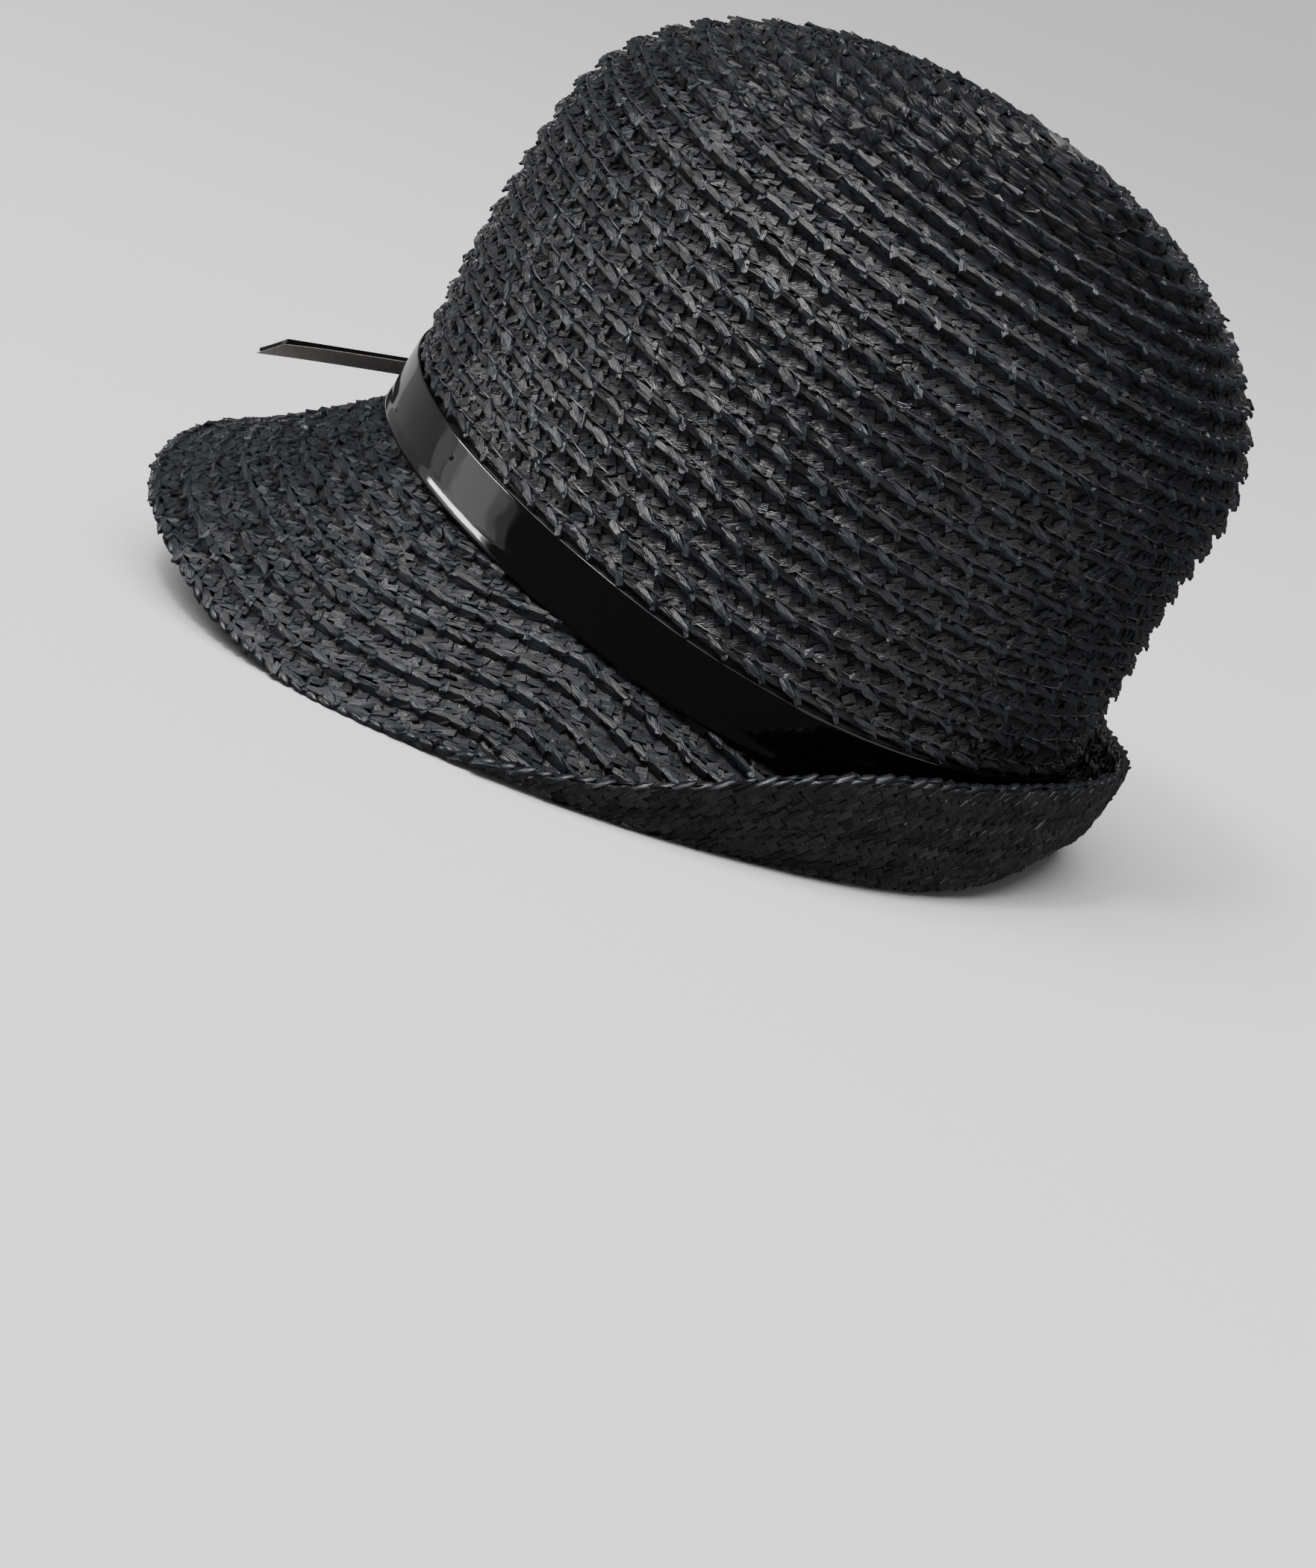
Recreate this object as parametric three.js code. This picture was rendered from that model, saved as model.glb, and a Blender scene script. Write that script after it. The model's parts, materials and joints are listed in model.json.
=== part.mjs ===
import * as THREE from 'three';

// Straw hat sewn from plaited rows: a plain domed crown, a brim turned down in front and
// rolled up behind, and a patent band whose free end stands forward over the brim.
// Millimetres. In the hat's own frame z runs up the crown, the front is -y and the wearer's
// left is +x. The finished hat is leaned back until it stands on its brim.

// head opening
const headHalfLength = 95.1;
const headWidthRatio = 0.813;
const backRise = 9.6;         // how much higher the opening lies at the back
const backRiseFrom = 95;      // degrees from the front where it starts to climb
const backDraw = 0.077;       // share of the length drawn in at the back of the opening
const frontReach = 0.013;     // share of the length pushed out at the front of it
const baseFade = 55;          // height over which the drawn-in foot fades out

// crown
const crownHeight = 139.2;
const shoulderHeight = 82;
const shoulderScale = 0.977;
const domePower = 2.13;
const topWidthRatio = 0.839;
const leanForward = -26.2;    // shift of the sections per 100 mm of height
const leanBack = 18.1;        // and per 100 mm squared
const crownFoot = -1.2;       // the wall runs a little past the opening
const crownWall = 1.9;
const crownUnderBand = -0.6;   // its outer face keeps clear of the band
const crownSides = 40;

// plaited rows, each lapped over the next one away from the tip
const rowPitch = 7.3;
const rowLip = 0.9;
const rowValley = -0.5;
const lipRun = 0.8;
const tipReach = 5;
const tipLift = 0.3;

// brim, one row per section, degrees from the front; the knee steers the curve of the
// section between the opening and the rim, out and up from the opening
const brimSections = [
  { deg: 0, kneeOut: 19.5, kneeRise: -24.1, rimOut: 41.9, rimRise: -41.5 },
  { deg: 35, kneeOut: 24.7, kneeRise: -20.8, rimOut: 43.1, rimRise: -44.9 },
  { deg: 70, kneeOut: 27.5, kneeRise: -23.4, rimOut: 35.1, rimRise: -42.2 },
  { deg: 100, kneeOut: 27.7, kneeRise: -36.2, rimOut: 30.2, rimRise: -15.6 },
  { deg: 125, kneeOut: 24.5, kneeRise: -34.3, rimOut: 22.6, rimRise: 13.3 },
  { deg: 150, kneeOut: 20.5, kneeRise: -26.3, rimOut: 11.6, rimRise: 18.0 },
  { deg: 180, kneeOut: 11.1, kneeRise: -14.3, rimOut: 10.4, rimRise: 19.8 },
];
const seamDrop = 1.5;         // how far below the opening the brim's inner edge lies
const seamDropFront = 0.5;    // and how much lower in front
const brimRows = 8;
const brimSides = 60;
const brimTop = { valley: 0.4, lip: 1.3 };
const brimUnder = { valley: -0.7, lip: -1.3 };

// band, a row per edge of its section: share of its height, stand-off from the crown and
// how much further it stands off at the front, where the knot pulls it out
const bandHeight = 14.6;
const bandFoot = -0.6;
const bandClear = 2.6;        // from its upper edge to the first row's lip
const bandFrontRise = 3.0;    // how much higher its upper edge reaches at the front
const bandSides = 60;
const bandSection = [
  { up: 0.02, out: -0.25, front: 0.3 },
  { up: 0.0, out: 1.2, front: 2.2 },
  { up: 0.22, out: 2.3, front: 2.0 },
  { up: 0.62, out: 2.3, front: 1.3 },
  { up: 0.93, out: 1.5, front: 1.4 },
  { up: 1.0, out: 0.6, front: 1.5 },
  { up: 0.98, out: -0.25, front: 1.5 },
];

// knot of the band, a plain rounded block on its front
const knotDeg = -8;
const knotWidth = 15;
const knotHeight = 15;
const knotDepth = 2.6;
const knotRound = 2.2;
const knotBevel = 0.6;
const knotGap = 0.35;
const knotStandOff = 4.7;     // from the crown to its back, clear of the puffed band

// free end of the band: a straight strap, its long edges given by a point on each
const strapThick = 1.2;
const strapPitch = 27.6;      // degrees below the opening's plane
const strapEdges = {
  near: { x: -6, z: -1.8, tip: -137.5 },
  far: { x: -19, z: -6.9, tip: -148.1 },
};
const strapEdgesAt = -110;    // where along the hat those edge heights are taken

// how far the hat leans back to stand on the sides of its brim and its back roll
const restLean = 15.8;

const straw = new THREE.MeshStandardMaterial({ color: 0x1d1e21, roughness: 0.5, metalness: 0 });
const patent = new THREE.MeshStandardMaterial({ color: 0x08080a, roughness: 0.12, metalness: 0 });

const { sin, cos, abs, max, min, hypot, PI } = Math;
const rad = THREE.MathUtils.degToRad;
const clamp01 = (u) => min(1, max(0, u));
const ease = (u) => clamp01(u) ** 2 * (3 - 2 * clamp01(u));
const turnFromFront = (a) => THREE.MathUtils.radToDeg(abs(Math.atan2(sin(a), cos(a))));

function openingRise(a) {
  return backRise * ease((turnFromFront(a) - backRiseFrom) / (180 - backRiseFrom));
}

// outline of the crown's section at a height, as a share of the head opening's
function crownScale(height) {
  const t = clamp01(height / shoulderHeight);
  if (height <= shoulderHeight) return 1 + (shoulderScale - 1) * ease(t);
  const up = clamp01((height - shoulderHeight) / (crownHeight - shoulderHeight));
  return shoulderScale * (1 - up ** domePower) ** (1 / domePower);
}

// distances along the crown from the opening to the tip, so that the rows keep their pitch
function measureCrown() {
  const steps = 400;
  const marks = [{ run: crownFoot, height: crownFoot }];
  for (let i = 0; i <= steps; i += 1) {
    const share = i / steps;
    const height = crownHeight * (1 - (1 - share) ** 3);
    const last = marks.at(-1);
    const across = headHalfLength * 0.9 * (crownScale(height) - crownScale(last.height));
    marks.push({ run: last.run + hypot(height - last.height, across), height });
  }
  return marks;
}

const crownMarks = measureCrown();
const crownRun = crownMarks.at(-1).run;

function heightAtRun(run) {
  const next = crownMarks.findIndex((mark) => mark.run >= run);
  if (next < 1) return run;
  const a = crownMarks[next - 1];
  const b = crownMarks[next];
  return a.height + (b.height - a.height) * (run - a.run) / max(b.run - a.run, 1e-9);
}

function crownMiddle(run, a) {
  const height = heightAtRun(run);
  const half = headHalfLength * crownScale(height);
  const ratio = headWidthRatio + (topWidthRatio - headWidthRatio) * clamp01(height / 100);
  const foot = clamp01(1 - height / baseFade) ** 2;
  const drawn = backDraw * max(-cos(a), 0) ** 2 - frontReach * max(cos(a), 0) ** 2;
  const lean = leanForward * (height / 100) + leanBack * (height / 100) ** 2;
  return new THREE.Vector3(
    half * ratio * sin(a),
    lean - half * cos(a) * (1 - drawn * foot),
    height + openingRise(a) * clamp01(1 - max(height, 0) / 100),
  );
}

function brimColumn(column, a) {
  const turn = turnFromFront(a);
  const rows = brimSections;
  const last = rows.length - 1;
  const at = (i) => (i < 0 ? { deg: -rows[1].deg, v: rows[1][column] }
    : i > last ? { deg: 360 - rows[last - 1].deg, v: rows[last - 1][column] }
      : { deg: rows[i].deg, v: rows[i][column] });
  const slope = (i) => {
    const [p, q, r] = [at(i - 1), at(i), at(i + 1)];
    const before = (q.v - p.v) / (q.deg - p.deg);
    const after = (r.v - q.v) / (r.deg - q.deg);
    return (after * (q.deg - p.deg) + before * (r.deg - q.deg)) / (r.deg - p.deg);
  };
  let i = 0;
  while (i < last - 1 && turn >= rows[i + 1].deg) i += 1;
  const span = rows[i + 1].deg - rows[i].deg;
  const t = (turn - rows[i].deg) / span;
  const start = (2 * t ** 3 - 3 * t ** 2 + 1) * rows[i][column];
  const leave = (t ** 3 - 2 * t ** 2 + t) * span * slope(i);
  const end = (3 * t ** 2 - 2 * t ** 3) * rows[i + 1][column];
  const arrive = (t ** 3 - t ** 2) * span * slope(i + 1);
  return start + leave + end + arrive;
}

function brimMiddle(share, a) {
  const root = crownMiddle(0, a);
  const out = new THREE.Vector3(sin(a), -headWidthRatio * cos(a), 0).normalize();
  const knee = 2 * share * (1 - share);
  const rim = share * share;
  const away = knee * brimColumn('kneeOut', a) + rim * brimColumn('rimOut', a);
  const rise = knee * brimColumn('kneeRise', a) + rim * brimColumn('rimRise', a);
  return root.addScaledVector(out, away).add(new THREE.Vector3(0, 0, rise));
}

// a point lifted off a surface along its normal
function lifted(surface, run, a, lift, step) {
  const along = surface(run + step, a).sub(surface(run - step, a));
  const round = surface(run, a + 0.01).sub(surface(run, a - 0.01));
  const normal = round.cross(along).normalize();
  return surface(run, a).addScaledVector(normal, lift);
}

const crownPoint = (run, a, lift) => lifted(crownMiddle, run, a, lift, 0.2);

// share of the way from the seam to the rim
function brimPoint(share, a, lift) {
  const seam = (seamDrop + seamDropFront * cos(a)) / (-2 * brimColumn('kneeRise', a));
  return lifted(brimMiddle, seam + share * (1 - seam), a, -lift, 0.004);
}

function ring(sides, pointAt) {
  return Array.from({ length: sides }, (_, i) => pointAt((2 * PI * i) / sides));
}

// closed skin over a list of rings: either round to the first ring again or shut at two poles
function skin(rings, poles) {
  const sides = rings[0].length;
  const points = rings.flat();
  const faces = [];
  const id = (r, i) => (r % rings.length) * sides + (i % sides);
  const spans = poles ? rings.length - 1 : rings.length;
  for (let r = 0; r < spans; r += 1) {
    for (let i = 0; i < sides; i += 1) {
      faces.push(id(r, i), id(r, i + 1), id(r + 1, i + 1));
      faces.push(id(r, i), id(r + 1, i + 1), id(r + 1, i));
    }
  }
  if (poles) {
    const first = points.push(poles[0]) - 1;
    const last = points.push(poles[1]) - 1;
    for (let i = 0; i < sides; i += 1) {
      faces.push(first, id(0, i + 1), id(0, i));
      faces.push(last, id(rings.length - 1, i), id(rings.length - 1, i + 1));
    }
  }
  let volume = 0;
  for (let f = 0; f < faces.length; f += 3) {
    const [p, q, r] = faces.slice(f, f + 3).map((k) => points[k]);
    volume += p.dot(new THREE.Vector3().crossVectors(q, r));
  }
  if (volume < 0) faces.reverse();
  const geometry = new THREE.BufferGeometry().setFromPoints(points);
  geometry.setIndex(faces);
  geometry.computeVertexNormals();
  return geometry;
}

function crownGeometry() {
  const firstLip = bandFoot + bandHeight + bandClear;
  const rows = Math.round((crownRun - tipReach - firstLip) / rowPitch);
  const pitch = (crownRun - tipReach - firstLip) / rows;
  const insideRuns = Array.from({ length: 12 }, (_, i) => (i / 11) ** 0.8 * (crownRun - tipReach));
  const inside = insideRuns.map((run) => ring(crownSides, (a) => crownPoint(run, a, -crownWall)));
  const outside = [
    ring(crownSides, (a) => crownPoint(crownFoot, a, crownUnderBand)),
    ring(crownSides, (a) => crownPoint(firstLip - lipRun, a, crownUnderBand)),
  ];
  for (let i = 0; i < rows; i += 1) {
    const run = firstLip + i * pitch;
    outside.push(ring(crownSides, (a) => crownPoint(run, a, rowValley)));
    outside.push(ring(crownSides, (a) => crownPoint(run + lipRun, a, rowLip)));
  }
  outside.push(ring(crownSides, (a) => crownPoint(crownRun - tipReach, a, 0)));
  inside[0] = ring(crownSides, (a) => crownPoint(crownFoot, a, -crownWall));
  const tip = crownMiddle(crownRun, 0);
  const poles = [tip.clone().setZ(tip.z - crownWall), tip.clone().setZ(tip.z + tipLift)];
  return skin([...inside.reverse(), ...outside], poles);
}

function brimGeometry() {
  const lipShare = lipRun / 60;
  const over = [];
  const under = [];
  for (let i = 0; i < brimRows; i += 1) {
    const from = i / brimRows;
    const to = (i + 1) / brimRows - lipShare;
    over.push(ring(brimSides, (a) => brimPoint(from, a, brimTop.valley)));
    over.push(ring(brimSides, (a) => brimPoint(to, a, brimTop.lip)));
    under.push(ring(brimSides, (a) => brimPoint(from, a, brimUnder.valley)));
    under.push(ring(brimSides, (a) => brimPoint(to, a, brimUnder.lip)));
  }
  const edge = ring(brimSides, (a) => brimPoint(1, a, 0));
  return skin([...over, edge, ...under.reverse()]);
}

function bandGeometry() {
  const rings = bandSection.map(({ up, out, front }) => ring(bandSides, (a) => {
    const share = max(cos(a), 0) ** 2;
    const height = bandHeight + bandFrontRise * share ** 4;
    return crownPoint(bandFoot + up * height, a, out + front * share);
  }));
  return skin(rings);
}

function knotGeometry() {
  const [w, h, r] = [knotWidth / 2 - knotBevel, knotHeight / 2 - knotBevel, knotRound];
  const outline = new THREE.Shape();
  outline.moveTo(-w + r, -h);
  outline.lineTo(w - r, -h);
  outline.absarc(w - r, -h + r, r, -PI / 2, 0);
  outline.lineTo(w, h - r);
  outline.absarc(w - r, h - r, r, 0, PI / 2);
  outline.lineTo(-w + r, h);
  outline.absarc(-w + r, h - r, r, PI / 2, PI);
  outline.lineTo(-w, -h + r);
  outline.absarc(-w + r, -h + r, r, PI, 1.5 * PI);
  const bevel = { bevelSize: knotBevel, bevelThickness: knotBevel, bevelSegments: 2 };
  return new THREE.ExtrudeGeometry(outline, {
    depth: knotDepth - 2 * knotBevel, curveSegments: 3, bevelEnabled: true, ...bevel,
  });
}

// face of the knot that the strap comes out of
const knotAngle = rad(knotDeg);
const knotSeat = crownPoint(bandFoot + 0.5 * bandHeight, knotAngle, 0);
const knotOut = crownPoint(bandFoot + 0.5 * bandHeight, knotAngle, 1).sub(knotSeat);
const knotSide = new THREE.Vector3(0, 0, 1).cross(knotOut).normalize();
const knotUp = knotOut.clone().cross(knotSide);
const knotFace = knotSeat.clone().addScaledVector(knotOut, knotStandOff + knotDepth + knotGap);

function strapGeometry() {
  const along = new THREE.Vector3(0, -cos(rad(strapPitch)), -sin(rad(strapPitch)));
  const edge = ({ x, z }) => new THREE.Vector3(x, strapEdgesAt, z);
  const near = edge(strapEdges.near);
  const far = edge(strapEdges.far);
  const across = new THREE.Vector3().subVectors(far, near).normalize();
  const up = new THREE.Vector3().crossVectors(across, along).normalize();
  const toKnot = (p) => knotFace.clone().sub(p).dot(knotOut) / along.dot(knotOut);
  const toTip = (p, tip) => (tip - p.y) / along.y;
  const lines = [
    { p: near, from: toKnot(near), to: toTip(near, strapEdges.near.tip) },
    { p: far, from: toKnot(far), to: toTip(far, strapEdges.far.tip) },
  ];
  const lift = max(0, up.dot(knotOut) * -strapThick / along.dot(knotOut));
  const section = (share) => {
    const [n, f] = lines.map(({ p, from, to }) => {
      const start = from + lift;
      return p.clone().addScaledVector(along, start + share * (to - start));
    });
    const top = (v) => v.clone().addScaledVector(up, strapThick);
    return [n, f, top(f), top(n)];
  };
  const rings = [0, 0.33, 0.66, 1].map(section);
  const middle = (r) => r.reduce((sum, p) => sum.add(p), new THREE.Vector3()).divideScalar(4);
  return skin(rings, [middle(rings[0]), middle(rings.at(-1))]);
}

function piece(name, geometry, material) {
  const mesh = new THREE.Mesh(geometry, material);
  mesh.name = name;
  return mesh;
}

const knot = piece('knot', knotGeometry(), patent);
knot.position.copy(knotSeat).addScaledVector(knotOut, knotStandOff + knotBevel);
knot.quaternion.setFromRotationMatrix(new THREE.Matrix4().makeBasis(knotSide, knotUp, knotOut));

const leaned = new THREE.Group();
leaned.add(
  piece('crown', crownGeometry(), straw),
  piece('brim', brimGeometry(), straw),
  piece('band', bandGeometry(), patent),
  knot,
  piece('strap', strapGeometry(), patent),
);
leaned.rotation.x = -rad(restLean);

// the origin is under the middle of the hat, on the surface it stands on
const extent = new THREE.Box3().setFromObject(leaned, true);
const middle = extent.getCenter(new THREE.Vector3());
leaned.position.set(-middle.x, -middle.y, -extent.min.z);

const hat = new THREE.Group();
hat.add(leaned);

export default hat;
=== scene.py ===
import bmesh
import bpy
import json
import math
import numpy as np
from mathutils import Matrix, Vector


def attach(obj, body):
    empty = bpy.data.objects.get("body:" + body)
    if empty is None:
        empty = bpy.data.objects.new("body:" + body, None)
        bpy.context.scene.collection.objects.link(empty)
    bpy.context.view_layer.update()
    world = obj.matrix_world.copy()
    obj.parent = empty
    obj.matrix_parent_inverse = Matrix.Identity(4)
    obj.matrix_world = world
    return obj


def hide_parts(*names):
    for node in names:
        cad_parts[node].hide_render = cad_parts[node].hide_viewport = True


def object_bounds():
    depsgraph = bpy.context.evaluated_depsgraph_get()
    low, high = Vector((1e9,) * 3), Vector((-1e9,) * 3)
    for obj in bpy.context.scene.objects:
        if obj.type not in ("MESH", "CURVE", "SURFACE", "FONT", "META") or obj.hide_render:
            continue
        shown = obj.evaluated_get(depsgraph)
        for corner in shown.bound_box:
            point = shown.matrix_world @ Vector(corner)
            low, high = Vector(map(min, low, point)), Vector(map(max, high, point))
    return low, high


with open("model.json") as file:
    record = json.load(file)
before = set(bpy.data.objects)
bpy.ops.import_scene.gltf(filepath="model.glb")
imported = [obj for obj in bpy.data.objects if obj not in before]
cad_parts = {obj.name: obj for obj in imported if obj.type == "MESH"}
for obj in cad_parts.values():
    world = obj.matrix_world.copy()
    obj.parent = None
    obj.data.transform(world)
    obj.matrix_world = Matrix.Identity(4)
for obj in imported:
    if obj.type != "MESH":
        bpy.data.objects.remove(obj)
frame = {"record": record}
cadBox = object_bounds()

# the hat's own axes in the frame: its opening's middle, and the way the crown points
opening = frame["record"]["mounts"][0]
crownUp = -Vector(opening["axis"]).normalized()
hatAxes = Matrix((Vector((1, 0, 0)), crownUp.cross(Vector((1, 0, 0))), crownUp)).transposed()
hatPlace = Matrix.Translation(Vector(opening["pos_m"])) @ hatAxes.to_4x4() @ Matrix.Scale(0.001, 4)


def inFrame(points):
    turned = np.array(hatPlace.to_3x3())
    return points @ turned.T + np.array(hatPlace.translation)


# sizes of the hat in millimetres, angles from its front toward the wearer's left
hat = {
    "halfLength": 95.1, "widthRatio": 0.813, "topWidthRatio": 0.839, "fadeHeight": 100,
    "backRise": 9.6, "backRiseFrom": 95, "backDraw": 0.077, "frontReach": 0.013, "baseFade": 55,
    "baseMost": 1.1, "height": 139.2, "shoulder": 82, "shoulderScale": 0.977, "domePower": 2.13,
    "leanForward": -26.2, "leanBack": 18.1,
    "foot": -1.2, "wall": 2.6, "tipReach": 5, "rowPitch": 7.3,
    "bandFoot": -0.6, "bandHeight": 14.6, "bandFrontRise": 3.0, "bandClear": 1.2,
}

# the brim's sections: the knee steers the curve from the opening to the rim
brimSections = {
    "deg": (0, 35, 70, 100, 125, 150, 180),
    "kneeOut": (19.5, 24.7, 27.5, 27.7, 24.5, 20.5, 11.1),
    "kneeRise": (-24.1, -20.8, -23.4, -36.2, -34.3, -26.3, -14.3),
    "rimOut": (41.9, 43.1, 35.1, 30.2, 22.6, 11.6, 10.4),
    "rimRise": (-41.5, -44.9, -42.2, -15.6, 13.3, 18.0, 19.8),
}


def ease(u):
    u = np.clip(u, 0, 1)
    return u * u * (3 - 2 * u)


def turnFromFront(a):
    return np.degrees(np.abs(np.arctan2(np.sin(a), np.cos(a))))


def crownScale(height):
    low = 1 + (hat["shoulderScale"] - 1) * ease(height / hat["shoulder"])
    up = np.clip((height - hat["shoulder"]) / (hat["height"] - hat["shoulder"]), 0, 1)
    dome = hat["shoulderScale"] * (1 - up ** hat["domePower"]) ** (1 / hat["domePower"])
    return np.where(height <= hat["shoulder"], low, dome)


# distance along the crown from the opening, against heights that lie closer together near the tip
crownLevels = 401
meanHalf = hat["halfLength"] * 0.9
crownHeights = hat["height"] * (1 - (1 - np.linspace(0, 1, crownLevels)) ** 3)
crownAcross = meanHalf * np.diff(crownScale(crownHeights))
crownRuns = np.append(0, np.cumsum(np.hypot(np.diff(crownHeights), crownAcross)))
crownRun = crownRuns[-1]


def crownMiddle(run, a):
    height = np.where(run < 0, run, np.interp(run, crownRuns, crownHeights))
    up = height / hat["fadeHeight"]
    half = hat["halfLength"] * crownScale(height)
    ratioGain = hat["topWidthRatio"] - hat["widthRatio"]
    ratio = hat["widthRatio"] + ratioGain * np.clip(up, 0, 1)
    foot = np.clip(1 - height / hat["baseFade"], 0, hat["baseMost"]) ** 2
    front = np.maximum(np.cos(a), 0) ** 2
    back = np.maximum(-np.cos(a), 0) ** 2
    drawn = hat["backDraw"] * back - hat["frontReach"] * front
    lean = hat["leanForward"] * up + hat["leanBack"] * up ** 2
    climb = (turnFromFront(a) - hat["backRiseFrom"]) / (180 - hat["backRiseFrom"])
    rise = hat["backRise"] * ease(climb)
    x = half * ratio * np.sin(a)
    y = lean - half * np.cos(a) * (1 - drawn * foot)
    z = height + rise * np.clip(1 - np.maximum(up, 0), 0, 1)
    return np.stack(np.broadcast_arrays(x, y, z), axis=-1)


def brimColumn(column, a):
    deg = np.array(brimSections["deg"], float)
    value = np.array(brimSections[column], float)
    allDeg = np.concatenate(([-deg[1]], deg, [360 - deg[-2]]))
    allValue = np.concatenate(([value[1]], value, [value[-2]]))
    gap = np.diff(allDeg)
    rate = np.diff(allValue) / gap
    slope = (rate[1:] * gap[:-1] + rate[:-1] * gap[1:]) / (gap[:-1] + gap[1:])
    turn = turnFromFront(a)
    i = np.clip(np.searchsorted(deg, turn, "right") - 1, 0, len(deg) - 2)
    span = deg[i + 1] - deg[i]
    t = (turn - deg[i]) / span
    start = (2 * t ** 3 - 3 * t ** 2 + 1) * value[i] + (t ** 3 - 2 * t ** 2 + t) * span * slope[i]
    end = (3 * t ** 2 - 2 * t ** 3) * value[i + 1] + (t ** 3 - t ** 2) * span * slope[i + 1]
    return start + end


def brimMiddle(share, a):
    out = np.stack([np.sin(a), -hat["widthRatio"] * np.cos(a), np.zeros_like(a)], axis=-1)
    out = out / np.linalg.norm(out, axis=-1, keepdims=True)
    knee = 2 * share * (1 - share)
    rim = share * share
    away = knee * brimColumn("kneeOut", a) + rim * brimColumn("rimOut", a)
    rise = knee * brimColumn("kneeRise", a) + rim * brimColumn("rimRise", a)
    up = np.array([0.0, 0.0, 1.0])
    return crownMiddle(np.zeros_like(a), a) + away[..., None] * out + rise[..., None] * up


# a surface sampled once over distance and turn, so that thousands of straws can be laid on it
turnCount = 480
turns = np.linspace(0, 2 * math.pi, turnCount, endpoint=False)
closedTurns = np.append(turns, 2 * math.pi)


def surfaceGrid(points, first, step):
    along = np.gradient(points, axis=0)
    around = np.roll(points, -1, axis=1) - np.roll(points, 1, axis=1)
    normal = np.cross(around, along)
    size = np.linalg.norm(normal, axis=-1, keepdims=True)
    return {"points": points, "normals": normal / np.maximum(size, 1e-9), "first": first, "step": step}


def onGrid(grid, run, turn, lift):
    rows, columns = grid["points"].shape[:2]
    i = (run - grid["first"]) / grid["step"]
    j = turn / (2 * math.pi) * columns
    i0 = np.clip(np.floor(i).astype(int), 0, rows - 2)
    j0 = np.floor(j).astype(int)
    fi = (i - i0)[..., None]
    fj = (j - j0)[..., None]
    j0, j1 = j0 % columns, (j0 + 1) % columns

    def blend(values):
        low = values[i0, j0] * (1 - fj) + values[i0, j1] * fj
        high = values[i0 + 1, j0] * (1 - fj) + values[i0 + 1, j1] * fj
        return low * (1 - fi) + high * fi

    normal = blend(grid["normals"])
    normal = normal / np.linalg.norm(normal, axis=-1, keepdims=True)
    return blend(grid["points"]) + normal * lift[..., None]


crownSampling = {"first": -3, "step": 0.75, "tipGap": 0.2}
crownGridRuns = np.arange(crownSampling["first"], crownRun - crownSampling["tipGap"], crownSampling["step"])
crownPoints = crownMiddle(crownGridRuns[:, None], turns[None, :])
crownGrid = surfaceGrid(crownPoints, crownSampling["first"], crownSampling["step"])

# the brim by distance in from its rim, run on past the seam a little
brimSampling = {"shares": 121, "step": 1.0, "past": 3}
brimShares = np.linspace(0, 1, brimSampling["shares"])
brimRaw = brimMiddle(*np.meshgrid(brimShares, turns, indexing="ij"))
brimBack = np.linalg.norm(np.diff(brimRaw, axis=0), axis=-1)[::-1].cumsum(axis=0)
brimBack = np.vstack([np.zeros((1, turnCount)), brimBack])
brimWidth = brimBack[-1]
brimIn = np.arange(0, brimWidth.max() + brimSampling["past"], brimSampling["step"])
brimPoints = np.empty((len(brimIn), turnCount, 3))
for k in range(turnCount):
    for axis in range(3):
        brimPoints[:, k, axis] = np.interp(brimIn, brimBack[:, k], brimRaw[::-1, k, axis])
    past = brimIn > brimWidth[k]
    lead = brimRaw[0, k] - brimRaw[2, k]
    lead = lead / np.linalg.norm(lead)
    brimPoints[past, k] = brimRaw[0, k] + (brimIn[past] - brimWidth[k])[:, None] * lead
brimGrid = surfaceGrid(brimPoints, 0, brimSampling["step"])
print("surfaces: crown", round(float(crownRun), 1), "mm along, brim", brimWidth.min().round(1), "to",
      brimWidth.max().round(1), "mm wide")


def widthAt(a):
    return np.interp(np.mod(a, 2 * math.pi), closedTurns, np.append(brimWidth, brimWidth[0]))


# materials
def socketLink(tree, source, target):
    tree.links.new(source, target)


def startGroup(name, inputs, outputs):
    tree = bpy.data.node_groups.new(name, "ShaderNodeTree")
    for way, sockets in (("INPUT", inputs), ("OUTPUT", outputs)):
        for label, kind in sockets.items():
            tree.interface.new_socket(label, in_out=way, socket_type="NodeSocket" + kind)
    return tree, tree.nodes.new("NodeGroupInput"), tree.nodes.new("NodeGroupOutput")


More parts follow.
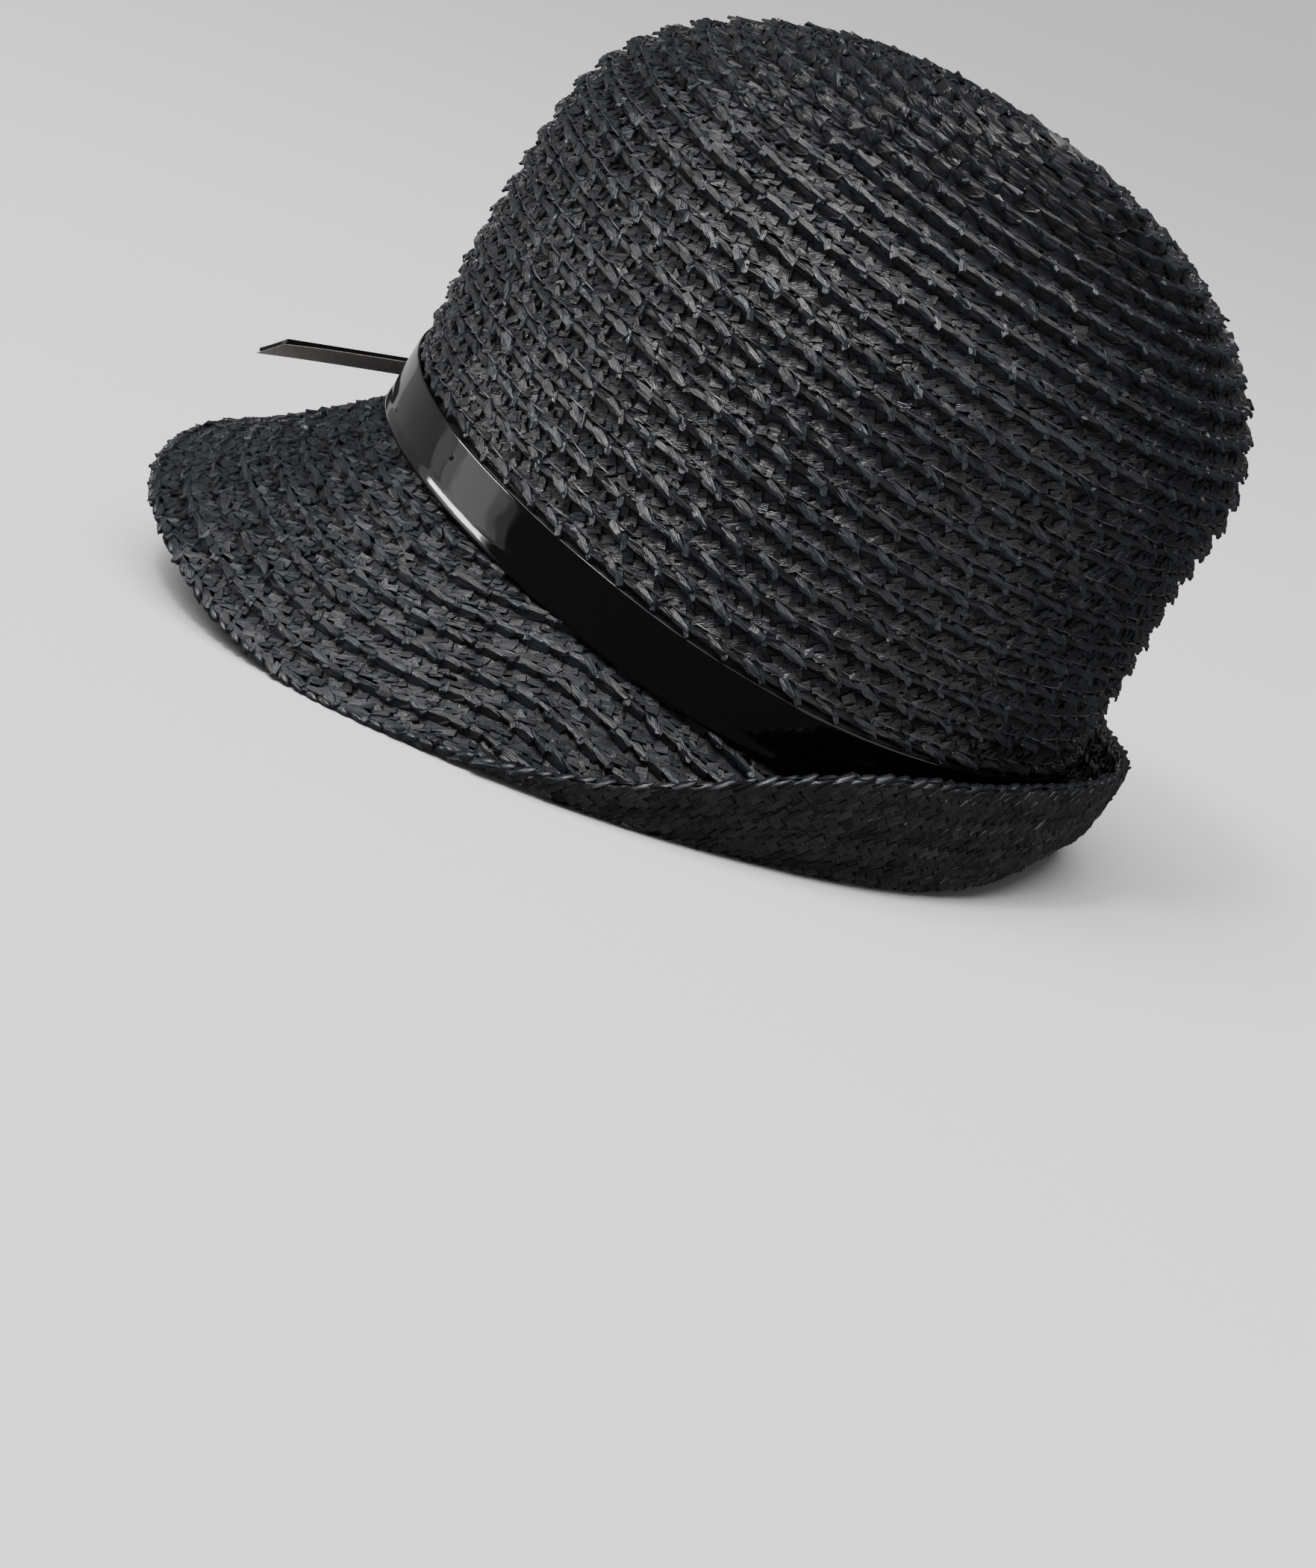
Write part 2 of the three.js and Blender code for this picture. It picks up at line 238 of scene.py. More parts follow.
# tone, gloss and relief of one straw
def strawFibreGroup():
    tree, inside, outside = startGroup(
        "strawFibre", {"Vector": "Vector", "Tone": "Float", "Dark": "Color", "Light": "Color"},
        {"Color": "Color", "Roughness": "Float", "Height": "Float"})
    nodes = tree.nodes
    streaks = nodes.new("ShaderNodeTexNoise")      # fibres along the straw
    streaks.inputs["Scale"].default_value = 1.0
    streaks.inputs["Detail"].default_value = 2.0
    patches = nodes.new("ShaderNodeTexNoise")      # dull and worn patches
    patches.inputs["Scale"].default_value = 0.35
    patches.inputs["Detail"].default_value = 2.0
    mixTone = nodes.new("ShaderNodeMix")
    mixTone.data_type = "RGBA"
    toneSum = nodes.new("ShaderNodeMath")          # the straw's own tone over its fibres'
    toneSum.operation = "MULTIPLY_ADD"
    toneSum.inputs[1].default_value = 0.7
    fade = nodes.new("ShaderNodeMath")             # fibres pulled apart in tone
    fade.operation = "MULTIPLY_ADD"
    fade.inputs[1].default_value = 1.5
    fade.inputs[2].default_value = -0.6
    rough = nodes.new("ShaderNodeMapRange")
    rough.inputs["From Min"].default_value = 0.3
    rough.inputs["From Max"].default_value = 0.7
    rough.inputs["To Min"].default_value = 0.22
    rough.inputs["To Max"].default_value = 0.5
    gloss = nodes.new("ShaderNodeMath")            # pale straws are the glossy ones
    gloss.operation = "MULTIPLY_ADD"
    gloss.inputs[1].default_value = -0.12
    socketLink(tree, inside.outputs["Vector"], streaks.inputs["Vector"])
    socketLink(tree, inside.outputs["Vector"], patches.inputs["Vector"])
    socketLink(tree, streaks.outputs["Fac"], fade.inputs[0])
    socketLink(tree, inside.outputs["Tone"], toneSum.inputs[0])
    socketLink(tree, fade.outputs[0], toneSum.inputs[2])
    socketLink(tree, toneSum.outputs[0], mixTone.inputs["Factor"])
    socketLink(tree, inside.outputs["Dark"], mixTone.inputs["A"])
    socketLink(tree, inside.outputs["Light"], mixTone.inputs["B"])
    socketLink(tree, patches.outputs["Fac"], rough.inputs["Value"])
    socketLink(tree, mixTone.outputs["Result"], outside.inputs["Color"])
    socketLink(tree, inside.outputs["Tone"], gloss.inputs[0])
    socketLink(tree, rough.outputs["Result"], gloss.inputs[2])
    socketLink(tree, gloss.outputs[0], outside.inputs["Roughness"])
    socketLink(tree, streaks.outputs["Fac"], outside.inputs["Height"])
    return tree


strawFibre = strawFibreGroup()


def startMaterial(name):
    material = bpy.data.materials.new(name)
    material.use_nodes = True
    return material, material.node_tree, material.node_tree.nodes["Principled BSDF"]


# straws carry a map in millimetres along and across each one, and a tone of their own
def strawMaterial(name, dark, light, bumpMm, shine):
    material, tree, shader = startMaterial(name)
    uv = tree.nodes.new("ShaderNodeUVMap")
    uv.uv_map = "strawMap"
    stretch = tree.nodes.new("ShaderNodeMapping")
    stretch.inputs["Scale"].default_value = (0.35, 3.2, 1.0)
    tone = tree.nodes.new("ShaderNodeAttribute")
    tone.attribute_name = "strawTone"
    fibre = tree.nodes.new("ShaderNodeGroup")
    fibre.node_tree = strawFibre
    fibre.inputs["Dark"].default_value = (*dark, 1)
    fibre.inputs["Light"].default_value = (*light, 1)
    bump = tree.nodes.new("ShaderNodeBump")
    bump.inputs["Strength"].default_value = 0.65
    bump.inputs["Distance"].default_value = bumpMm * 0.001
    socketLink(tree, uv.outputs["UV"], stretch.inputs["Vector"])
    socketLink(tree, stretch.outputs["Vector"], fibre.inputs["Vector"])
    socketLink(tree, tone.outputs["Fac"], fibre.inputs["Tone"])
    socketLink(tree, fibre.outputs["Color"], shader.inputs["Base Color"])
    socketLink(tree, fibre.outputs["Roughness"], shader.inputs["Roughness"])
    socketLink(tree, fibre.outputs["Height"], bump.inputs["Height"])
    socketLink(tree, bump.outputs["Normal"], shader.inputs["Normal"])
    shader.inputs["Specular IOR Level"].default_value = shine
    return material


# the wall under the straws, seen only in the gaps between them; its dull colour is painted shade for those
# gaps
def wallMaterial():
    material, tree, shader = startMaterial("strawWall")
    place = tree.nodes.new("ShaderNodeTexCoord")
    stretch = tree.nodes.new("ShaderNodeMapping")
    stretch.inputs["Scale"].default_value = (400, 400, 900)
    fibre = tree.nodes.new("ShaderNodeGroup")
    fibre.node_tree = strawFibre
    fibre.inputs["Tone"].default_value = 0.3
    fibre.inputs["Dark"].default_value = (0.0095, 0.0101, 0.0115, 1)
    fibre.inputs["Light"].default_value = (0.025, 0.0262, 0.0295, 1)
    bump = tree.nodes.new("ShaderNodeBump")
    bump.inputs["Strength"].default_value = 0.5
    bump.inputs["Distance"].default_value = 0.0003
    socketLink(tree, place.outputs["Object"], stretch.inputs["Vector"])
    socketLink(tree, stretch.outputs["Vector"], fibre.inputs["Vector"])
    socketLink(tree, fibre.outputs["Color"], shader.inputs["Base Color"])
    socketLink(tree, fibre.outputs["Roughness"], shader.inputs["Roughness"])
    socketLink(tree, fibre.outputs["Height"], bump.inputs["Height"])
    socketLink(tree, bump.outputs["Normal"], shader.inputs["Normal"])
    shader.inputs["Specular IOR Level"].default_value = 0.15
    return material


# soft waves of a lacquered skin, and smears that dull its gloss
def lacquerGroup():
    tree, inside, outside = startGroup(
        "lacquerSkin", {"Vector": "Vector"}, {"Roughness": "Float", "Height": "Float"})
    nodes = tree.nodes
    waves = nodes.new("ShaderNodeTexNoise")
    waves.inputs["Scale"].default_value = 90
    waves.inputs["Detail"].default_value = 1.5
    smears = nodes.new("ShaderNodeTexNoise")
    smears.inputs["Scale"].default_value = 260
    smears.inputs["Detail"].default_value = 4.0
    rough = nodes.new("ShaderNodeMapRange")
    rough.inputs["From Min"].default_value = 0.35
    rough.inputs["From Max"].default_value = 0.75
    rough.inputs["To Min"].default_value = 0.045
    rough.inputs["To Max"].default_value = 0.12
    socketLink(tree, inside.outputs["Vector"], waves.inputs["Vector"])
    socketLink(tree, inside.outputs["Vector"], smears.inputs["Vector"])
    socketLink(tree, smears.outputs["Fac"], rough.inputs["Value"])
    socketLink(tree, rough.outputs["Result"], outside.inputs["Roughness"])
    socketLink(tree, waves.outputs["Fac"], outside.inputs["Height"])
    return tree


lacquerSkin = lacquerGroup()

# one pimple in the lacquer, in metres; its height counts against the waves'
pimple = {"place": (0.0643, -0.0331, 0.0543), "radius": 0.0009, "height": 3.0}


def patentMaterial(name, color, waveMm):
    material, tree, shader = startMaterial(name)
    place = tree.nodes.new("ShaderNodeTexCoord")
    skin = tree.nodes.new("ShaderNodeGroup")
    skin.node_tree = lacquerSkin
    bump = tree.nodes.new("ShaderNodeBump")
    bump.inputs["Strength"].default_value = 0.35
    bump.inputs["Distance"].default_value = waveMm * 0.001
    socketLink(tree, place.outputs["Object"], skin.inputs["Vector"])
    socketLink(tree, skin.outputs["Roughness"], shader.inputs["Roughness"])
    away = tree.nodes.new("ShaderNodeVectorMath")
    away.operation = "DISTANCE"
    away.inputs[1].default_value = pimple["place"]
    dome = tree.nodes.new("ShaderNodeMapRange")
    dome.interpolation_type = "SMOOTHSTEP"
    dome.inputs["From Max"].default_value = pimple["radius"]
    dome.inputs["To Min"].default_value = pimple["height"]
    dome.inputs["To Max"].default_value = 0
    total = tree.nodes.new("ShaderNodeMath")
    socketLink(tree, place.outputs["Object"], away.inputs[0])
    socketLink(tree, away.outputs["Value"], dome.inputs["Value"])
    socketLink(tree, dome.outputs["Result"], total.inputs[0])
    socketLink(tree, skin.outputs["Height"], total.inputs[1])
    socketLink(tree, total.outputs[0], bump.inputs["Height"])
    socketLink(tree, bump.outputs["Normal"], shader.inputs["Normal"])
    shader.inputs["Base Color"].default_value = (*color, 1)
    shader.inputs["Specular IOR Level"].default_value = 0.5
    return material


# matt back of the strap
def backingMaterial():
    material, tree, shader = startMaterial("strapBacking")
    place = tree.nodes.new("ShaderNodeTexCoord")
    nap = tree.nodes.new("ShaderNodeTexNoise")
    nap.inputs["Scale"].default_value = 1500
    nap.inputs["Detail"].default_value = 4
    ramp = tree.nodes.new("ShaderNodeValToRGB")
    ramp.color_ramp.elements[0].position = 0.3
    ramp.color_ramp.elements[0].color = (0.092, 0.08, 0.073, 1)
    ramp.color_ramp.elements[1].position = 0.75
    ramp.color_ramp.elements[1].color = (0.197, 0.175, 0.16, 1)
    bump = tree.nodes.new("ShaderNodeBump")
    bump.inputs["Strength"].default_value = 0.6
    bump.inputs["Distance"].default_value = 0.0002
    socketLink(tree, place.outputs["Object"], nap.inputs["Vector"])
    socketLink(tree, nap.outputs["Fac"], ramp.inputs["Fac"])
    socketLink(tree, ramp.outputs["Color"], shader.inputs["Base Color"])
    socketLink(tree, nap.outputs["Fac"], bump.inputs["Height"])
    socketLink(tree, bump.outputs["Normal"], shader.inputs["Normal"])
    shader.inputs["Roughness"].default_value = 0.85
    return material


strawOutside = strawMaterial(
    "strawOutside", (0.0058, 0.0063, 0.0073), (0.0155, 0.0175, 0.0216), bumpMm=0.4, shine=0.6)
# the brim's own copy of the straw, less shiny; its tones are scaled down in the brim plait as painted shade
strawBrim = strawMaterial(
    "strawBrim", (0.0072, 0.008, 0.0095), (0.0174, 0.0198, 0.0246), bumpMm=0.4, shine=0.48)
strawUnder = strawMaterial(
    "strawUnder", (0.0048, 0.0044, 0.004), (0.024, 0.0224, 0.0208), bumpMm=0.3, shine=0.38)
strawWall = wallMaterial()
patentBlack = patentMaterial("patentBlack", (0.0018, 0.0018, 0.002), waveMm=0.5)
backingGrey = backingMaterial()
threadGrey = strawMaterial("rowThread", (0.02, 0.02, 0.022), (0.075, 0.075, 0.08), bumpMm=0.1, shine=0.5)
print("materials made")


# a mesh kept as one smooth piece; the nodes named are the solids it stands for
def keepPiece(bm, name, material, slotName, *nodes):
    mesh = bpy.data.meshes.new(name)
    bm.to_mesh(mesh)
    bm.free()
    mesh.materials.append(material)
    mesh.polygons.foreach_set("use_smooth", np.ones(len(mesh.polygons), bool))
    piece = bpy.data.objects.new(name, mesh)
    bpy.context.scene.collection.objects.link(piece)
    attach(piece, "root")
    if nodes:
        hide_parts(*nodes)
    return piece


# rings of points lofted one after another; a ring is given as an array of places in the frame
def loftRings(bm, rings):
    ring = bmesh.ops.create_circle(bm, segments=len(rings[0]), radius=1)["verts"]
    for vert, place in zip(ring, rings[0]):
        vert.co = place
    first = last = bm.edges[:]
    for places in rings[1:]:
        grown = bmesh.ops.extrude_edge_only(bm, edges=last)["geom"]
        newVerts = {g for g in grown if isinstance(g, bmesh.types.BMVert)}
        # the new ring starts where the old one does
        following = []
        for vert in ring:
            others = (edge.other_vert(vert) for edge in vert.link_edges)
            following.append(next(other for other in others if other in newVerts))
        ring = following
        for vert, place in zip(ring, places):
            vert.co = place
        last = [e for e in grown if isinstance(e, bmesh.types.BMEdge)
                and e.verts[0] in newVerts and e.verts[1] in newVerts]
    return first, last


def turnRing(grid, sides, run, lift):
    a = np.arange(sides) * 2 * math.pi / sides
    return inFrame(onGrid(grid, np.broadcast_to(run, a.shape), a, np.broadcast_to(lift, a.shape)))


firstLip = hat["bandFoot"] + hat["bandHeight"] + hat["bandClear"]
crownRowCount = round((crownRun - hat["tipReach"] - firstLip) / hat["rowPitch"])
crownPitch = (crownRun - hat["tipReach"] - firstLip) / crownRowCount


# height of a row over the wall's middle, from its proud lower edge up to where the next row covers it
crownProfile = (
    (-0.07, -2.4), (-0.04, -0.2), (0.03, 0.5), (0.17, 0.35),
    (0.29, -0.6), (0.45, -1.4), (0.72, -1.85), (0.86, -2.4),
)
brimProfile = (
    (-0.08, -1.5), (-0.04, -0.2), (0.04, 0.35), (0.2, 0.3),
    (0.32, -0.25), (0.5, -0.7), (0.75, -0.95), (0.88, -1.5),
)
underProfile = ((0.0, 1.35), (0.14, 1.7), (0.8, 1.65), (1.0, 1.3))
insideProfile = ((0.0, hat["wall"] - 0.05), (1.0, hat["wall"] + 0.1))


def rowHeight(profile, share):
    shares, heights = np.array(profile).T
    return np.interp(share, shares, heights)


# crown wall under the straws, one closed shell stepped at every row
crownShell = {
    "sides": 90, "below": 0.45, "insideRuns": 24,
    "underBand": -0.6, "bandStop": 1.5, "deepest": -2.1, "tip": -0.3,
}


def makeCrownShell():
    sides = crownShell["sides"]
    tipRun = crownRun - hat["tipReach"]
    runs = np.append(np.linspace(tipRun, 0, crownShell["insideRuns"]), hat["foot"])
    rings = [turnRing(crownGrid, sides, run, -hat["wall"]) for run in runs]
    for run in (hat["foot"], firstLip - crownShell["bandStop"]):
        rings.append(turnRing(crownGrid, sides, run, crownShell["underBand"]))
    for i in range(crownRowCount):
        for share, height in crownProfile[:-1]:
            run = firstLip + (i + share) * crownPitch
            lift = max(height - crownShell["below"], crownShell["deepest"])
            rings.append(turnRing(crownGrid, sides, run, lift))
    rings.append(turnRing(crownGrid, sides, tipRun, crownShell["tip"]))
    bm = bmesh.new()
    for edges in loftRings(bm, rings):
        bmesh.ops.holes_fill(bm, edges=edges, sides=0)
    caps = [face for face in bm.faces if len(face.verts) > 4]
    bmesh.ops.poke(bm, faces=caps)
    bmesh.ops.recalc_face_normals(bm, faces=bm.faces)
    keepPiece(bm, "crownShell", strawWall, "straw", "crown")


# brim wall, top and underside round the rim and shut at the seam
brimShell = {
    "sides": 160, "top": -1.2, "under": -1.45, "seam": 0.3, "steps": 26, "edge": 0.9,
    "rim": 0.4, "rimLift": -1.3,
}


def makeBrimShell():
    sides = brimShell["sides"]
    inside = widthAt(np.arange(sides) * 2 * math.pi / sides) - brimShell["seam"]
    shares = np.linspace(0, 1, brimShell["steps"])
    runs = [inside * (1 - share) + brimShell["edge"] * share for share in shares]
    rings = [turnRing(brimGrid, sides, run, brimShell["top"]) for run in runs]
    rings.append(turnRing(brimGrid, sides, brimShell["rim"], brimShell["rimLift"]))
    rings += [turnRing(brimGrid, sides, run, brimShell["under"]) for run in runs[::-1]]
    bm = bmesh.new()
    first, last = loftRings(bm, rings)
    bmesh.ops.bridge_loops(bm, edges=first + last)
    bmesh.ops.recalc_face_normals(bm, faces=bm.faces)
    keepPiece(bm, "brimShell", strawWall, "straw", "brim")


makeCrownShell()
makeBrimShell()
print("shells made")


# a straw's shape as arrays, its faces sorted by how many corners they have
def asTemplate(bm):
    bmesh.ops.recalc_face_normals(bm, faces=bm.faces)
    bm.verts.index_update()
    places = np.array([v.co for v in bm.verts])
    faces = {}
    for face in bm.faces:
        faces.setdefault(len(face.verts), []).append([v.index for v in face.verts])
    bm.free()
    return {"places": places, "faces": {n: np.array(rows) for n, rows in faces.items()}}


# one flat straw with soft edges, sunk at its border; lies in x and y over one unit, its top at z 1
def flatStraw(along, across, flat, crease, sink):
    near = 0.01
    bm = bmesh.new()
    bmesh.ops.create_grid(bm, x_segments=along, y_segments=across, size=0.5)
    for v in bm.verts:
        v.co.z = -sink if v.is_boundary else 1 - crease * abs(2 * v.co.y)
    # the rows next to the border move out to it, so the top stays flat
    for v in bm.verts:
        for axis, cells in ((0, along), (1, across)):
            inner = 0.5 - 1 / cells
            if abs(abs(v.co[axis]) - inner) < near and inner > near:
                v.co[axis] = math.copysign(0.5 * flat, v.co[axis])
    bmesh.ops.holes_fill(bm, edges=[e for e in bm.edges if e.is_boundary], sides=0)
    return asTemplate(bm)


def layAlongX(bm):
    bmesh.ops.rotate(bm, verts=bm.verts, cent=(0, 0, 0), matrix=Matrix.Rotation(math.pi / 2, 3, "Y"))


# a plump twist of straw and a bowed stitch of thread, each one unit long
def strawTwist():
    bm = bmesh.new()
    bmesh.ops.create_uvsphere(bm, u_segments=8, v_segments=7, radius=0.5)
    layAlongX(bm)
    return asTemplate(bm)


def threadStitch(cuts, bow):
    bm = bmesh.new()
    bmesh.ops.create_cone(bm, segments=3, radius1=0.5, radius2=0.5, depth=1, cap_ends=True)
    longEdges = [e for e in bm.edges if abs(e.verts[0].co.z - e.verts[1].co.z) > 0.5]
    bmesh.ops.subdivide_edges(bm, edges=longEdges, cuts=cuts)
    layAlongX(bm)
    for v in bm.verts:
        v.co.z += bow * (1 - 4 * v.co.x ** 2)
    return asTemplate(bm)


straws = {
    "leaf": flatStraw(along=4, across=4, flat=0.86, crease=0.35, sink=0.7),
    "brick": flatStraw(along=3, across=3, flat=0.84, crease=0.0, sink=0.7),
    "twist": strawTwist(),
    "stitch": threadStitch(cuts=3, bow=2),
}

# how far a straw strays from its place and size: millimetres, a share for its size, degrees for its slant
stray = {
    "along": 0.22, "up": 0.16, "size": 0.08, "slant": 6,
    "lift": 0.1, "rise": 0.14, "roll": 0.17, "tone": 0.24,
}
# limits of its tone, how sharply its ends narrow, the shift of its map and the room left at the seam
toneRange = (-0.4, 1)
pinchPower = 2.5
mapSpan = 50
seamClear = {"straw": 0.6, "corner": 0.2}


# length along a row at each of the closed turns
def rowRing(grid, row):
    run = np.full(len(closedTurns), row["low"] + 0.5 * row["pitch"])
    middle = onGrid(grid, run, closedTurns, np.zeros(len(closedTurns)))
    return np.append(0, np.linalg.norm(np.diff(middle, axis=0), axis=-1).cumsum())


# places, sizes and tones of one kind of straw round one row
def drawStraws(rng, kind, pitch, start, period, n):
    loose = kind.get("loose", 1.0)

    def strayed(middle, key):
        return rng.normal(middle, stray[key] * loose, n)

    drawn = {
        "u": start + (np.arange(n) + kind["along"]) * period + strayed(0, "along"),
        "up": kind["up"] * pitch + strayed(0, "up"),
        "long": kind["long"] * strayed(1, "size"),
        "wide": kind["wide"] * strayed(1, "size"),
        "slant": np.radians(kind["slant"] + strayed(0, "slant")),
        "lift": kind["lift"] + strayed(0, "lift"),
        "rise": kind.get("rise", 0) + strayed(0, "rise"),
        "roll": kind.get("roll", 0) + strayed(0, "roll"),
    }
    drawn["tone"] = np.clip(kind["tone"] + rng.normal(0, stray["tone"], n), *toneRange)
    return {key: values[:, None] for key, values in drawn.items()}


def strawMesh(name, places, maps, tones, faces, smooth):
    mesh = bpy.data.meshes.new(name)
    mesh.from_pydata(inFrame(places), [], [face for rows in faces.values() for face in rows.tolist()])
    strawMap = mesh.uv_layers.new(name="strawMap")
    loopVerts = np.empty(len(mesh.loops), int)
    mesh.loops.foreach_get("vertex_index", loopVerts)
    strawMap.data.foreach_set("uv", maps[loopVerts].ravel())
    strawTone = mesh.attributes.new("strawTone", "FLOAT", "POINT")
    strawTone.data.foreach_set("value", tones)
    mesh.polygons.foreach_set("use_smooth", np.full(len(mesh.polygons), smooth))
    mesh.update()
    return mesh


# lays every kind of straw of a plait along its rows and joins them in one mesh
def layStraws(name, grid, rows, plait, material):
    rng = np.random.default_rng(plait["seed"])
    side = plait.get("side", 1)
    places, maps, tones = [], [], []
    faces = {}
    count = 0
    for row in rows:
        length = rowRing(grid, row)
        ringLength = length[-1]
        motifs = max(2, round(ringLength / plait["period"]))
        period = ringLength / motifs
        start = rng.uniform(0, period)
        for kind in plait["kinds"]:
            template = straws[kind["straw"]]
            straw = drawStraws(rng, kind, row["pitch"], start, period, motifs)
            if plait.get("toSeam"):
                centre = np.interp(np.mod(straw["u"], ringLength), length, closedTurns)
                inside = row["low"] + straw["up"] < widthAt(centre) - seamClear["straw"]
                straw = {key: values[inside[:, 0]] for key, values in straw.items()}
            n = len(straw["u"])
            if n == 0:
                continue
            s, t, b = template["places"].T
            pinch = 1 - kind["pinch"] * (2 * np.abs(s)) ** pinchPower
            across = t * pinch * (1 + 2 * kind.get("fan", 0) * s)
            lanes, lane = np.unique(np.round(t, 3), return_inverse=True)
            frayed = rng.normal(0, plait.get("ragged", 0), (n, len(lanes)))[:, lane]
            along = (straw["long"] + 2 * frayed) * s
            sideways = straw["wide"] * across
            u = straw["u"] + along * np.cos(straw["slant"]) + sideways * np.sin(straw["slant"])
            up = straw["up"] - along * np.sin(straw["slant"]) + sideways * np.cos(straw["slant"])
            turn = np.interp(np.mod(u, ringLength), length, closedTurns)
            follow = kind.get("follow", plait["follow"])
            high = rowHeight(plait["profile"], straw["up"] / row["pitch"]) * (1 - follow)
            high = high + rowHeight(plait["profile"], up / row["pitch"]) * follow
            high = high + straw["lift"] + straw["rise"] * 2 * s + straw["roll"] * 2 * t + kind["thick"] * b
            high = high + rng.normal(0, plait["crumple"], u.shape) * (b > 0)
            run = row["low"] + up
            if plait.get("toSeam"):
                run = np.minimum(run, widthAt(turn) - seamClear["corner"])
            if "highest" in row:
                run = np.minimum(run, row["highest"])
            places.append(onGrid(grid, run, turn, side * high).reshape(-1, 3))
            shift = rng.uniform(0, mapSpan, (n, 2))
            maps.append(np.stack([along + shift[:, :1], sideways + shift[:, 1:]], -1).reshape(-1, 2))
            tones.append(np.repeat(straw["tone"], len(s)))
            offset = count + np.arange(n)[:, None, None] * len(s)
            for corners, loops in template["faces"].items():
                turned = loops if side > 0 else loops[:, ::-1]
                faces.setdefault(corners, []).append((turned[None] + offset).reshape(-1, corners))
            count += n * len(s)
    faces = {corners: np.concatenate(blocks) for corners, blocks in faces.items()}
    mesh = strawMesh(name, np.concatenate(places), np.concatenate(maps), np.concatenate(tones), faces,
                     plait.get("smooth", False))
    mesh.materials.append(material)
    piece = bpy.data.objects.new(name, mesh)
    bpy.context.scene.collection.objects.link(piece)
    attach(piece, "root")
    print(name, sum((corners - 2) * len(rows) for corners, rows in faces.items()), "triangles")


# crown plait: along each row's lower edge a hollow leaf turned down and a bright ribbon that crosses it
# to a folded tip, then two lines of flat bricks; some of their tones are painted shade and a painted glint
crownPlait = {
    "seed": 11, "period": 9.4, "profile": crownProfile, "follow": 0.65, "crumple": 0.11, "ragged": 0.3,
    "tipClear": 0.6,
    "kinds": [
        # hollow leaf: its low tone is painted shade under the row's lip
        {"straw": "leaf", "along": 0.26, "up": 0.07, "long": 6.8, "wide": 3.1, "slant": 4, "lift": -0.15,
         "roll": 0.5, "thick": 0.4, "pinch": 0.4, "tone": -0.05, "loose": 0.7},
        {"straw": "leaf", "along": 0.70, "up": 0.16, "long": 6.4, "wide": 2.3, "slant": 18, "lift": 0.2,
         "rise": 0.35, "roll": -0.2, "thick": 0.45, "pinch": 0.35, "tone": 0.45},
        # folded tip: its high tone is a painted glint
        {"straw": "leaf", "along": 0.98, "up": 0.09, "long": 3.1, "wide": 1.9, "slant": 58, "lift": 0.1,
         "rise": 0.45, "roll": -0.1, "thick": 0.45, "pinch": 0.25, "tone": 0.85, "follow": 0.0},
        {"straw": "brick", "along": 0.86, "up": 0.46, "long": 3.4, "wide": 2.7, "slant": 30, "lift": 0.0,
         "thick": 0.4, "pinch": 0.3, "tone": 0.25},
    ] + [
        {"straw": "brick", "along": along, "up": up, "long": 3.7, "wide": 2.65, "slant": -27, "lift": lift,
         "roll": -0.15, "thick": 0.4, "pinch": 0.3, "fan": 0.25, "tone": tone, "loose": 1.15}
        for up, along, lift, tone in (
            (0.44, 0.08, 0.0, 0.45), (0.46, 0.34, 0.05, 0.5), (0.44, 0.60, 0.0, 0.45),
            # the upper line of bricks is toned darker: painted shade under the next row's lip
            (0.68, 0.22, 0.0, 0.3), (0.68, 0.48, 0.0, 0.3), (0.68, 0.75, 0.0, 0.3),
        )
    ],
}


def crownRows(first, last):
    return [{"low": firstLip + i * crownPitch, "pitch": crownPitch} for i in range(first, last)]


def makeCrownPlait():
    third = crownRowCount // 3 - 1
    tip = {"low": crownRun - hat["tipReach"], "pitch": hat["tipReach"],
           "highest": crownRun - crownPlait["tipClear"]}
    bands = {
        "crownPlaitSide": crownRows(0, third),
        "crownPlaitShoulder": crownRows(third, 2 * third),
        "crownPlaitTop": crownRows(2 * third, crownRowCount) + [tip],
    }
    for i, (name, rows) in enumerate(bands.items()):
        layStraws(name, crownGrid, rows, {**crownPlait, "seed": crownPlait["seed"] + i}, strawOutside)


# inside of the crown, the flat back of the same rows
insidePlait = {
    "seed": 31, "period": 9.4, "profile": insideProfile, "follow": 1, "crumple": 0.05, "side": -1,
    "start": -0.5, "tipGap": 3, "tipClear": 1,
    "kinds": [
        {"straw": "brick", "along": along, "up": up, "long": 4.6, "wide": 3.0, "slant": slant, "lift": 0,
         "thick": 0.35, "pinch": 0.3, "tone": 0.4, "loose": 0.5}
        for up, along, slant in ((0.25, 0.1, 30), (0.25, 0.6, 30), (0.75, 0.35, -30), (0.75, 0.85, -30))
    ],
}


def makeInsidePlait():
    rows = []
    count = round((crownRun - insidePlait["tipGap"]) / hat["rowPitch"])
    for i in range(count):
        rows.append({"low": insidePlait["start"] + i * hat["rowPitch"], "pitch": hat["rowPitch"],
                     "highest": crownRun - insidePlait["tipClear"]})
    layStraws("crownPlaitInside", crownGrid, rows, insidePlait, strawUnder)
